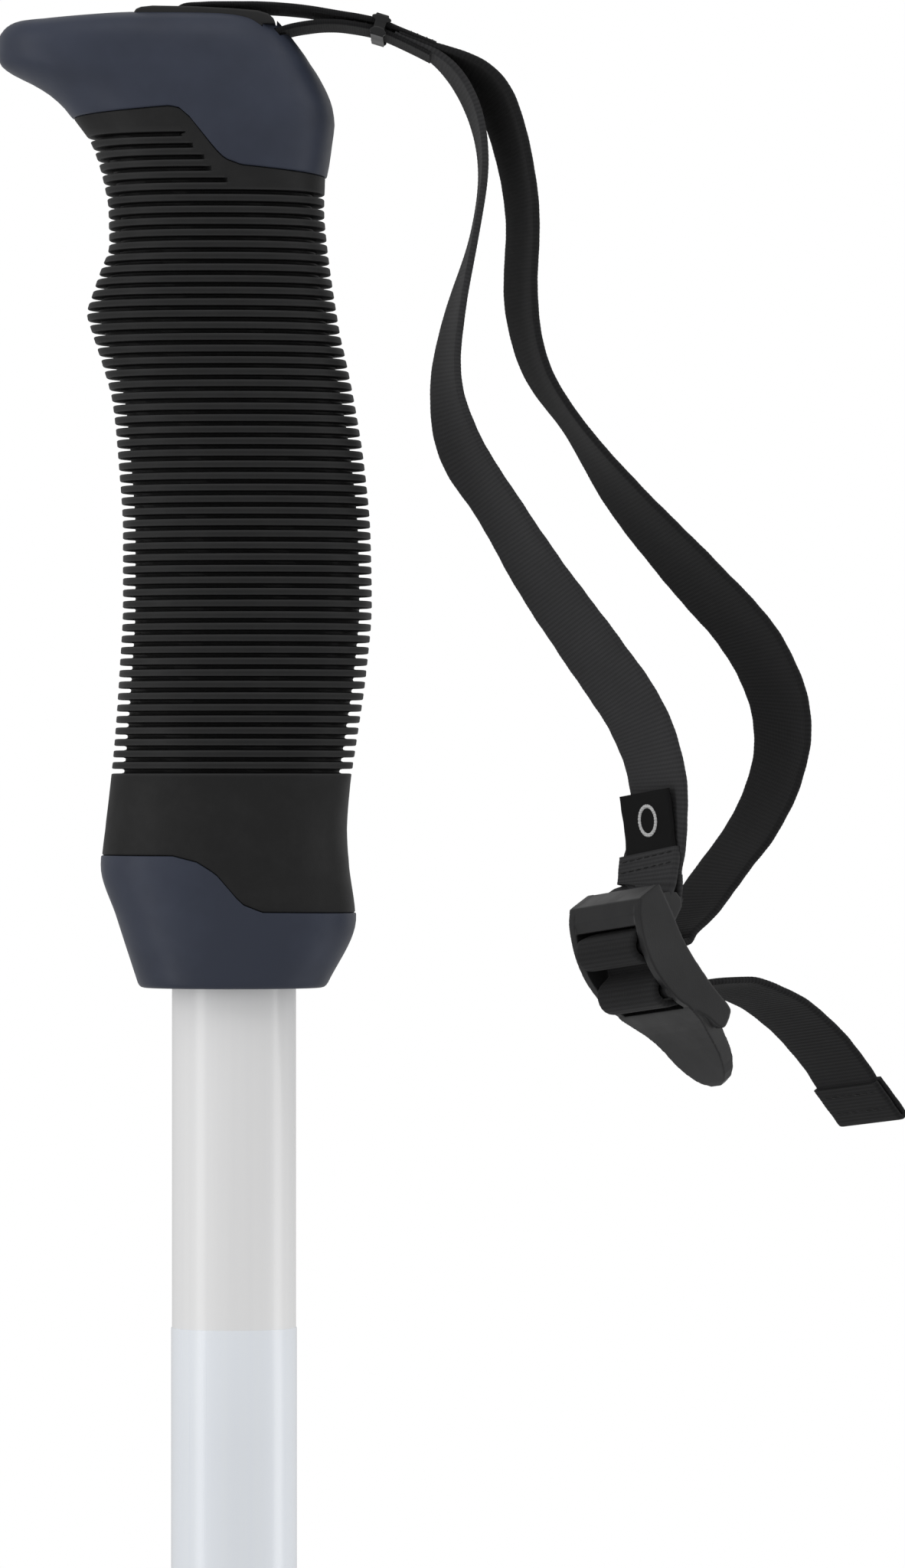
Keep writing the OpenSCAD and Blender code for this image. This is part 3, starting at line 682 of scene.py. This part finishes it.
def lathe(name, profile, mat, sharp=30):
    """Closed ring of a profile, radius and height, turned about the shaft's axis."""
    a = np.arange(SHAFT_TURNS) * 2 * math.pi / SHAFT_TURNS
    rings = [np.stack([r * np.cos(a), r * np.sin(a), np.full(SHAFT_TURNS, z)], -1)
             for r, z in profile]
    mesh = raw_mesh(name, np.concatenate(rings), grid_faces(len(profile), SHAFT_TURNS, True))
    clean(mesh)
    return finish_mesh(name, mesh, mat, sharp)


def make_shaft():
    top, low, taper = GRIP_TOP - 26, TIP_Z + 62, TIP_Z + 420
    foot = low + FOOT_LENGTH
    outer = [(FOOT_R, low), (FOOT_R, foot)]
    outer += [(FOOT_R + (SHAFT_R - FOOT_R) * t, foot + (taper - foot) * t)
              for t in np.linspace(0.05, 1, 20)]
    outer += [(SHAFT_R, z) for z in np.linspace(taper + 20, top, 30)]
    inner = [(r - TUBE_WALL, z) for r, z in outer[::-1]]
    return lathe("shaft_tube", outer + inner, paint)


def make_film():
    top, low = GRIP_TOP - 191.0, TIP_Z + 430
    heights = np.linspace(low, top - 0.1, 30)
    wall = [(SHAFT_R + 0.01, low)] + [(SHAFT_R + 0.13, z) for z in heights]
    return lathe("film_wrap", wall + [(SHAFT_R + 0.08, top), (SHAFT_R + 0.01, top)], film)


for piece, node, slot in ((make_shaft(), "shaft", "shaft_paint"),
                          (make_film(), "shaft_film", "film")):
    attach(piece, "pole")
    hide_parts(node)

# ---- Webbing ----

RING_STEP = 0.15
# Rings over which a hanging strap is evened out, and rings over which that fades away
HANG_WINDOW = 63
HANG_EASE = 40
# Half of a strap's section: share of the half width, share of the half thickness
SECTION = [(-1, 0), (-0.985, 0.62), (-0.955, 0.93), (-0.88, 1), (-0.6, 1), (-0.3, 1), (0, 1),
           (0.3, 1), (0.6, 1), (0.88, 1), (0.955, 0.93), (0.985, 0.62), (1, 0)]


def sides_of(places, turns):
    """Direction of the strap's width at each place, square to its run and then turned."""
    run = normalised(np.gradient(places, axis=0))
    flat = normalised(np.array([0, -1.0, 0]) + run * run[:, 1:2])
    turn = np.radians(turns)[:, None]
    return np.cos(turn) * flat + np.sin(turn) * np.cross(flat, run)


def route(points):
    """Centre points and width directions of a route whose heights count from the grip's top."""
    p = np.array(points, float)
    places = p[:, :3] + (0, 0, GRIP_TOP)
    return places, sides_of(places, p[:, 3])


def in_buckle(path, x=0.0):
    """The same for a path in the buckle's y and z."""
    pts = [(x if np.isscalar(x) else x[i], y, z) for i, (y, z) in enumerate(path)]
    return from_buckle(pts), np.repeat(AXES[:1], len(path), 0)


def chain(*stretches):
    return np.vstack([s[0] for s in stretches]), np.vstack([s[1] for s in stretches])


def dense(places, sides, step=RING_STEP):
    """Evenly spaced places and square width directions along a strap."""
    spans = np.linalg.norm(np.diff(places, axis=0), axis=1)
    both = catmull(np.hstack([places, sides]), [max(2, math.ceil(s / step)) for s in spans])
    return both[:, :3], both[:, 3:]


def hanging(places, sides, until):
    """Evens out the bends of a strap up to a place along it, as webbing does when it hangs."""
    window = np.hanning(HANG_WINDOW)
    window /= window.sum()
    margin = HANG_WINDOW // 2
    both = np.hstack([places, sides])
    lead = 2 * both[0] - both[margin:0:-1]
    trail = 2 * both[-1] - both[-2:-margin - 2:-1]
    padded = np.vstack([lead, both, trail])
    even = np.stack([np.convolve(padded[:, k], window, "valid") for k in range(6)], 1)
    share = np.clip((until - np.arange(len(places))) / HANG_EASE, 0, 1)[:, None]
    both += share * (even - both)
    return both[:, :3], both[:, 3:]


def strap(name, places, sides, width, thick, mat, pitch=0.6, rib=0.012, start=0.0, thin=None):
    """Ribbed webbing along places, and its length. thin is the thickness share at each place."""
    run = normalised(np.gradient(places, axis=0))
    sides = normalised(sides - run * (sides * run).sum(1, keepdims=True))
    up = np.cross(run, sides)
    steps = np.linalg.norm(np.diff(places, axis=0), axis=1)
    along = start + np.concatenate([[0], np.cumsum(steps)])
    share = np.ones(len(along)) if thin is None else thin
    ring = np.array(SECTION + [(s, -n) for s, n in SECTION[-2:0:-1]])
    wave = np.cos(along * 2 * math.pi / pitch)
    wander = 0.05 * np.sin(along * 0.83) + 0.035 * np.sin(along * 2.1 + 1)
    s = ring[:, 0] * (width / 2 + wander[:, None] + 0.005 * wave[:, None])
    n = ring[:, 1] * (thick / 2 * share[:, None] + rib * wave[:, None])
    verts = places[:, None] + s[..., None] * sides[:, None] + n[..., None] * up[:, None]
    rows, cols = len(along), len(ring)
    faces = grid_faces(rows, cols) + end_faces(rows, cols)
    mesh = raw_mesh(name, verts.reshape(-1, 3), faces)
    set_attribute(mesh, "along", np.repeat(along, cols))
    set_attribute(mesh, "across", s)
    clean(mesh, merge=0)
    return finish_mesh(name, mesh, mat, 50), float(along[-1] - start)


def declare(nodes_replaced=()):
    """Hides the CAD nodes that a strap replaces."""
    if nodes_replaced:
        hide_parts(*nodes_replaced)


# Thickness share at a loop strand's start and how long it takes to fill out, and the tether's
PRESSED, PRESSED_REACH = 0.5, 8
TETHER_END, TETHER_END_REACH = 0.72, 6


def start_share(count):
    """Thickness share of a loop strand, pressed thin where it starts between the tether layers."""
    reach = np.clip(np.arange(count) * RING_STEP / PRESSED_REACH, 0, 1)
    return PRESSED + (1 - PRESSED) * reach * reach * (3 - 2 * reach)


# Tether: one length of webbing round the anchor pin, with both ends on the loop
places, sides = dense(*route(TETHER))
reach = np.arange(len(places)) * RING_STEP
from_end = np.minimum(reach, reach[-1] - reach)
thin = TETHER_END + (1 - TETHER_END) * np.clip(from_end / TETHER_END_REACH - 0.3, 0, 1)
tether, length = strap("tether_webbing", places, sides, WEB_W, TETHER_T, web_tether, 0.35, 0.01,
                       thin=thin)
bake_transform(tether)
declare(("tether_anchor", "tether_strap"))

# Loop: the back strand, the stretch that bends at the buckle, and the threaded stretch
THREAD_IN = [(6.9, -9.8), (5.1, -10.4), (3.6, -9.7), (2.7, -7.9), (1.8, -6.3), (0.4, -5.4)]
THREAD_MID = [(-0.5, -9.4), (-0.2, -10.5), (-0.6, -11.6)]
TAIL = [(-0.4, -16.8), (2.4, -17.2), (5.0, -17.4), (9.9, -20.0), (12.2, -21.6), (14.7, -24.5),
        (17.2, -28.0), (19.0, -32.0), (20.1, -35.3), (20.8, -38.4), (21.3, -41.5), (21.5, -44.5)]
TAIL_END = [(21.5, -44.5), (21.9, -47.6), (22.3, -50.8)]


def over_bar(bar, radius, start, end, steps):
    """Arc of webbing round a bar, in the buckle's y and z, from start to end in degrees."""
    a = np.radians(np.linspace(start, end, steps))
    return [(bar[0] + radius * c, bar[1] + radius * s) for c, s in zip(np.cos(a), np.sin(a))]


threaded = THREAD_IN + over_bar(UPPER_BAR, THREAD_R, 100, 260, 9) + THREAD_MID
threaded += over_bar(LOWER_BAR, THREAD_R, 100, 260, 9) + TAIL
back, through = route(LOOP_BACK), in_buckle(threaded)
places, sides = dense(*chain(back, through))


def nearest(spot):
    """Index of the strap's ring nearest to a spot."""
    return int(np.argmin(np.linalg.norm(places - spot, axis=1)))


bend_start, bend_end = nearest(back[0][-4]), nearest(through[0][0])
places, sides = hanging(places, sides, bend_end)
thin = start_share(len(places))
cuts = [(0, bend_start + 1), (bend_start, bend_end + 1), (bend_end, len(places))]
names = ("back_strand", "bridge_webbing", "tail_webbing")
strands, lengths, so_far = [], [], 0.0
for name, (a, b) in zip(names, cuts):
    piece, length = strap(name, places[a:b], sides[a:b], WEB_W, WEB_T, web_dark,
                          start=so_far, thin=thin[a:b])
    strands.append(piece)
    lengths.append(length)
    so_far += length
back_strand, bridge, tail = strands
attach(back_strand, "strap")
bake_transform(bridge)
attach(tail, "buckle")
declare(["loop_strap_back"])
declare(["strap_bridge"])
declare(["strap_tail"])

# Front strand, which is sewn round the buckle's top bar
wrap = [(9.9, 0.2), (8.2, -2.5)] + over_bar(SEWN_BAR, WRAP_R, -34, -214, 10)
wrap_x = [0.9, 0.4] + [0.0] * 10
FLAP = np.array([(58.9, -0.1, -53.6), (59.7, -0.1, -52.3), (60.1, 0.3, -50.0),
                 (60.35, 0.9, -47.1)])
FLAP_SIDE = normalised(np.array([0.548, -0.824, 0.141]))
flap = FLAP, np.tile(FLAP_SIDE, (len(FLAP), 1))
places, sides = dense(*chain(route(LOOP_FRONT), in_buckle(wrap, wrap_x), flap))
places, sides = hanging(places, sides, nearest(in_buckle(wrap)[0][0]))
# The front strand takes the lighter copy of the webbing, as painted light.
front_strand, length = strap("front_strand", places, sides, WEB_W, WEB_T, web_painted_lit,
                             thin=start_share(len(places)))
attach(front_strand, "strap")
declare(["loop_strap_front"])

# Tail's end, folded back on itself
places, sides = dense(*in_buckle(TAIL_END))
run = normalised(np.gradient(places, axis=0))
up = np.cross(run, normalised(sides))
FOLD = 0.48
turn = np.radians(np.linspace(90, -90, 9)[1:-1])
tip = [places[-1] + FOLD * (math.sin(a) * up[-1] + math.cos(a) * run[-1]) for a in turn]
folded = np.vstack([places + FOLD * up, tip, (places - FOLD * up)[::-1]])
widths = np.vstack([sides, np.repeat(sides[-1:], len(turn), 0), sides[::-1]])
tab, length = strap("tail_fold", folded, widths, TAB_W, 0.85, web_dark)
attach(tab, "buckle")
declare(["tail_tab"])

# Woven label tucked under the sewn flap
LABEL = np.array([(60.9, 0.5, -49.8), (60.6, 0.4, -47.5), (60.2, 0.55, -43.0),
                  (59.55, 0.7, -38.4)])
LABEL_SIDE = normalised(np.array([0.53, -0.84, 0.135]))
places, sides = dense(LABEL, np.tile(LABEL_SIDE, (4, 1)))
label, length = strap("woven_label", places, sides, LABEL_W, 0.4, label_satin, 0.25, 0.0)
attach(label, "strap")
declare(["strap_label"])


def stitch(centre, run, up, length, radius=0.1):
    """One thread stitch as a slim rounded grain that dips at its ends."""
    cols, rows = 8, 7
    side = np.cross(run, up)
    verts = []
    for i in range(rows):
        t = -1 + 2 * (i + 0.5) / rows
        r = radius * math.sqrt(max(0.05, 1 - t ** 4))
        mid = centre + run * t * length / 2 + up * (0.07 * (1 - t * t) - 0.04)
        verts += [mid + r * (math.cos(a) * side + math.sin(a) * up)
                  for a in np.arange(cols) * 2 * math.pi / cols]
    return np.array(verts), grid_faces(rows, cols) + end_faces(rows, cols)


def join(parts):
    """Points and faces of several shapes as one."""
    verts, faces, count = [], [], 0
    for v, f in parts:
        verts.append(v)
        faces += [tuple(i + count for i in face) for face in f]
        count += len(v)
    return np.vstack(verts), faces


def stitched(name, parts, mat, body):
    verts, faces = join(parts)
    mesh = raw_mesh(name, verts, faces)
    set_attribute(mesh, "along", verts[:, 2])
    set_attribute(mesh, "across", verts[:, 0])
    obj = finish_mesh(name, mesh, mat, 60)
    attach(obj, body)
    return obj


STITCH_SPAN = 11.4
STITCH_PITCH = 1.9


def stitch_rows(centre, run, side, up, rows):
    """Rows of stitches across a strap, at the given distances along it."""
    return [stitch(centre + run * r + side * s, side, up, STITCH_PITCH * 0.82) for r in rows
            for s in np.arange(-STITCH_SPAN / 2, STITCH_SPAN / 2 + 0.1, STITCH_PITCH)]


def to_front(way):
    """The direction or its opposite, whichever points to the front."""
    return way if way[1] < 0 else -way


joint_run = normalised(np.array([4.2, 0, -1.65]))
joint_up = np.array([-joint_run[2], 0, joint_run[0]])
joint_at = np.array([26.9, 0, GRIP_TOP - 4.42]) + joint_up * (TETHER_T / 2)
joint_side = np.array([0, -1.0, 0])
parts = stitch_rows(joint_at, joint_run, joint_side, joint_up, (-1.4, -0.4, 1.0, 1.9))
flap_run = normalised(FLAP[3] - FLAP[2])
flap_up = to_front(normalised(np.cross(FLAP_SIDE, flap_run)))
flap_at = (FLAP[2] + FLAP[3]) / 2 + flap_up * (WEB_T / 2)
parts += stitch_rows(flap_at, flap_run, FLAP_SIDE, flap_up, (-0.9, 0.7))
stitching = stitched("loop_stitches", parts, thread, "strap")
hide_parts("loop_stitching")
tail_places, tail_sides = in_buckle(TAIL_END)
tail_run = normalised(tail_places[2] - tail_places[0])
tail_side = normalised(tail_sides[1])
tail_up = to_front(np.cross(tail_run, tail_side))
tail_at = tail_places[1] + tail_up * (FOLD + 0.42)
parts = stitch_rows(tail_at, tail_run, tail_side, tail_up, (-1.6, 1.4))
stitched("tail_stitches", parts, thread, "buckle")

# A plain woven ring on the label
MARK_R = 2.1
MARK_STITCHES = 28
label_mid = LABEL[2] + (0.1, -0.02, 0.5)
label_run = normalised(LABEL[3] - LABEL[1])
label_up = to_front(normalised(np.cross(LABEL_SIDE, label_run)))
parts = []
for a in np.arange(MARK_STITCHES) * 2 * math.pi / MARK_STITCHES:
    outward = math.cos(a) * LABEL_SIDE + math.sin(a) * label_run
    spot = label_mid + MARK_R * outward + label_up * 0.2
    tangent = -math.sin(a) * LABEL_SIDE + math.cos(a) * label_run
    parts.append(stitch(spot, tangent, label_up, 0.7, 0.34))
stitched("label_mark", parts, mark_thread, "strap")

# ---- Buckle and keeper ----

# Side views in the buckle's y and z. They are slimmer than the CAD's at the rails, deeper at the
# hood, and the tab lies further back.
RAIL = [(0, -0.3), (-1.4, -2), (-2.5, -4.4), (-3.3, -7), (-3.65, -10), (-3.4, -13), (-2.6, -16),
        (-1.2, -18.4), (0.2, -20.6), (1.0, -22.6), (2.0, -23.3), (3.9, -22.2), (4.3, -21.0),
        (3.5, -16.7), (3.03, -10.2), (3.6, -5.3), (4.05, -1.2), (4.12, -0.35), (3.95, -0.18),
        (3.0, -0.16), (0.4, -0.18)]
EAR = [(3.2, -1.2), (5.4, -2.3), (6.4, -3.0), (6.5, -4.3), (6.0, -5.2), (3.2, -6.6)]
HOOD = [(0, -0.2), (4.0, -0.2), (4.0, -0.9), (2.9, -1.6), (2.9, -5.95), (2.25, -5.95),
        (0.6, -4.6), (-1.1, -3.95), (-1.95, -3.5), (-1.4, -2)]
EAR_IN, EAR_OUT = 7.75, 8.6
BAR_HALF = 8.5
# Bars: place and radius
BARS = [(SEWN_BAR, 1.05), (UPPER_BAR, 1.3), ((1.4, -10.5), 0.8), (LOWER_BAR, 1.3)]
# Thumb tab: height, front y, back y, half width
TAB = [(-17.7, -1.8, 0.0, 9.25), (-18.3, -1.6, 0.5, 9.25), (-20.5, -0.7, 2.0, 8.5),
       (-22.0, -0.2, 2.7, 7.7), (-23.7, 0.2, 2.9, 7.0), (-25.5, 0.5, 3.0, 6.5),
       (-27.2, 0.65, 3.0, 6.1), (-28.9, 0.8, 3.0, 5.3), (-30.3, 0.95, 2.9, 4.3),
       (-31.5, 1.1, 2.8, 3.0), (-32.3, 1.35, 2.5, 1.2)]


def rounded(shape, per_span):
    """A closed outline, smoothed through its points."""
    p = np.array(shape, float)
    looped = np.vstack([p[-1], p, p[0], p[1]])
    return catmull(looped, [per_span] * (len(looped) - 1))[per_span:-2 * per_span]


def along_x(y, z, x):
    return (x, y, z)


def along_y(x, z, y):
    return (x, y, z)


def loft_box(rows):
    """Closed stack of rectangles: height, front, back, half width."""
    verts = []
    for z, front_y, back_y, half in rows:
        verts += [(-half, front_y, z), (half, front_y, z), (half, back_y, z), (-half, back_y, z)]
    return np.array(verts, float), grid_faces(len(rows), 4) + end_faces(len(rows), 4)


def fused(name, parts, place, voxel, mat, soften=2, keep=0.45):
    """Melts closed shapes into one moulded skin with soft edges, then puts it in place."""
    verts, faces = join(parts)
    mesh = raw_mesh(name, verts, faces, 1.0)
    clean(mesh, merge=0)
    rough = bpy.data.objects.new(name + "_rough", mesh)
    scene.collection.objects.link(rough)
    melt = rough.modifiers.new("melt", "REMESH")
    melt.mode, melt.voxel_size = "VOXEL", voxel
    soft = rough.modifiers.new("soft", "SMOOTH")
    soft.factor, soft.iterations = 0.5, soften
    lean = rough.modifiers.new("lean", "DECIMATE")
    lean.ratio = keep
    made = evaluated(rough)
    bpy.data.objects.remove(rough)
    co = np.zeros(len(made.vertices) * 3)
    made.vertices.foreach_get("co", co)
    made.vertices.foreach_set("co", (place(co.reshape(-1, 3)) * MM).ravel())
    made.update()
    return finish_mesh(name, made, mat, 55)


def make_buckle():
    wall = [(y, z) for y, z in rounded(RAIL, 4) if z > -23.4]
    offset = (BUCKLE_W - RAIL_T) / 2
    parts = [prism(wall, middle - RAIL_T / 2, middle + RAIL_T / 2, along_x)
             for middle in (-offset, offset)]
    parts.append(prism(HOOD, -BUCKLE_W / 2, BUCKLE_W / 2, along_x))
    parts += [prism(EAR, low, high, along_x) for low, high in ((-EAR_OUT, -EAR_IN),
                                                               (EAR_IN, EAR_OUT))]
    parts += [prism(circle(at, r), -BAR_HALF, BAR_HALF, along_x) for at, r in BARS]
    parts.append(loft_box(TAB))
    return fused("buckle_body", parts, from_buckle, 0.15, buckle_black)


KEEPER_AT = np.array((21.2, 0, GRIP_TOP - 2.84))
KEEPER_LEAN = math.radians(17)
# The keeper's two plates and two end blocks: half length, lowest and highest y, then z
KEEPER_BLOCKS = [(0.95, (-8.5, 8.5), (1.45, 1.68)), (0.95, (-8.5, 8.5), (-1.56, -1.28)),
                 (0.8, (-8.6, -7.8), (-1.4, 1.5)), (0.8, (7.8, 8.6), (-1.4, 1.5))]
# The rounded lobes at its ends: height, half length, half height
KEEPER_LOBES = [(1.05, 1.45, 0.48), (-0.95, 1.2, 0.6)]
LOBE_W = 0.95


def in_keeper(points):
    c, s = math.cos(KEEPER_LEAN), math.sin(KEEPER_LEAN)
    x, y, z = points[:, 0], points[:, 1], points[:, 2]
    return KEEPER_AT + np.stack([c * x + s * z, y, -s * x + c * z], -1)


def make_keeper():
    parts = []
    for half, (left, right), (low, high) in KEEPER_BLOCKS:
        shape = [(-half, low), (half, low), (half, high), (-half, high)]
        parts.append(prism(shape, left, right, along_y))
    for z, wide, high in KEEPER_LOBES:
        shape = circle((0, z), wide, 20, high)
        parts += [prism(shape, left, left + LOBE_W, along_y) for left in (-8.7, 7.75)]
    return fused("keeper_band", parts, in_keeper, 0.08, buckle_black)


buckle = make_buckle()
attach(buckle, "buckle")
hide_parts("buckle_frame")
keeper = make_keeper()
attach(keeper, "keeper")
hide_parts("strap_keeper")

# ---- CAD pieces that stay as they are ----

KEPT = {"insert_screw": steel, "anchor_pin": steel,
        "grip_core": core_grey, "shaft_plug": core_grey, "tip_ferrule": tip_black,
        "tip_spike": steel, "basket": tip_black, "basket_clip": steel}
for name, mat in KEPT.items():
    data = nodes[name].data
    data.materials.clear()
    data.materials.append(mat)
    smooth_shade(data, 30)

# ---- Studio ----

FLOOR_HALF = 4.0
# Strength of the white world where it lights the pole; the camera sees it at full strength
WORLD_LIGHT = 0.56


def make_floor():
    h, z = FLOOR_HALF, TIP_Z * MM
    mesh = bpy.data.meshes.new("floor")
    mesh.from_pydata([(-h, -h, z), (h, -h, z), (h, h, z), (-h, h, z)], [], [(0, 1, 2, 3)])
    look = Look("floor_paper", (0.82, 0.82, 0.82), 0.8, 0.2)
    look.colour(look.colours(look.noise(3, 2), (0.8, 0.8, 0.8), (0.84, 0.84, 0.84)))
    obj = finish_mesh("studio_floor", mesh, look.mat)


def make_world():
    world = bpy.data.worlds.new("studio")
    world.use_nodes = True
    tree = world.node_tree
    tree.nodes.clear()
    seen, lit = tree.nodes.new("ShaderNodeBackground"), tree.nodes.new("ShaderNodeBackground")
    seen.inputs["Strength"].default_value = 1.0
    lit.inputs["Strength"].default_value = WORLD_LIGHT
    for shade in (seen, lit):
        shade.inputs["Color"].default_value = (1, 1, 1, 1)
    path, mix = tree.nodes.new("ShaderNodeLightPath"), tree.nodes.new("ShaderNodeMixShader")
    out = tree.nodes.new("ShaderNodeOutputWorld")
    tree.links.new(path.outputs["Is Camera Ray"], mix.inputs[0])
    tree.links.new(lit.outputs[0], mix.inputs[1])
    tree.links.new(seen.outputs[0], mix.inputs[2])
    tree.links.new(mix.outputs[0], out.inputs["Surface"])
    scene.world = world


def soft_box(name, place, target, size, watts):
    light = bpy.data.lights.new(name, "AREA")
    light.shape, light.size, light.size_y = "RECTANGLE", size[0], size[1]
    light.energy = watts
    obj = bpy.data.objects.new(name, light)
    scene.collection.objects.link(obj)
    obj.location = place
    direction = np.array(target) - np.array(place)
    obj.rotation_euler = Vector(direction).to_track_quat("-Z", "Y").to_euler()


make_floor()
make_world()
AIM = (0.02, 0, -0.02)
soft_box("strip_left", (-1.0, -0.5, 0.05), AIM, (0.35, 1.6), 3.4)
soft_box("strip_right", (1.0, 0.0, 0.05), AIM, (0.35, 1.6), 3.2)
soft_box("overhead", (0.1, -0.7, 1.2), AIM, (1.2, 0.8), 3.6)

camera_data = bpy.data.cameras.new("camera")
camera_data.sensor_width = 36
camera_data.lens = 197.8
camera_data.clip_start, camera_data.clip_end = 0.05, 20
camera = bpy.data.objects.new("camera", camera_data)
camera.location = (0.0317, -1.25, -0.0372)
camera.rotation_euler = (math.radians(90), 0, 0)
scene.collection.objects.link(camera)
scene.camera = camera
scene.view_settings.view_transform = "Standard"
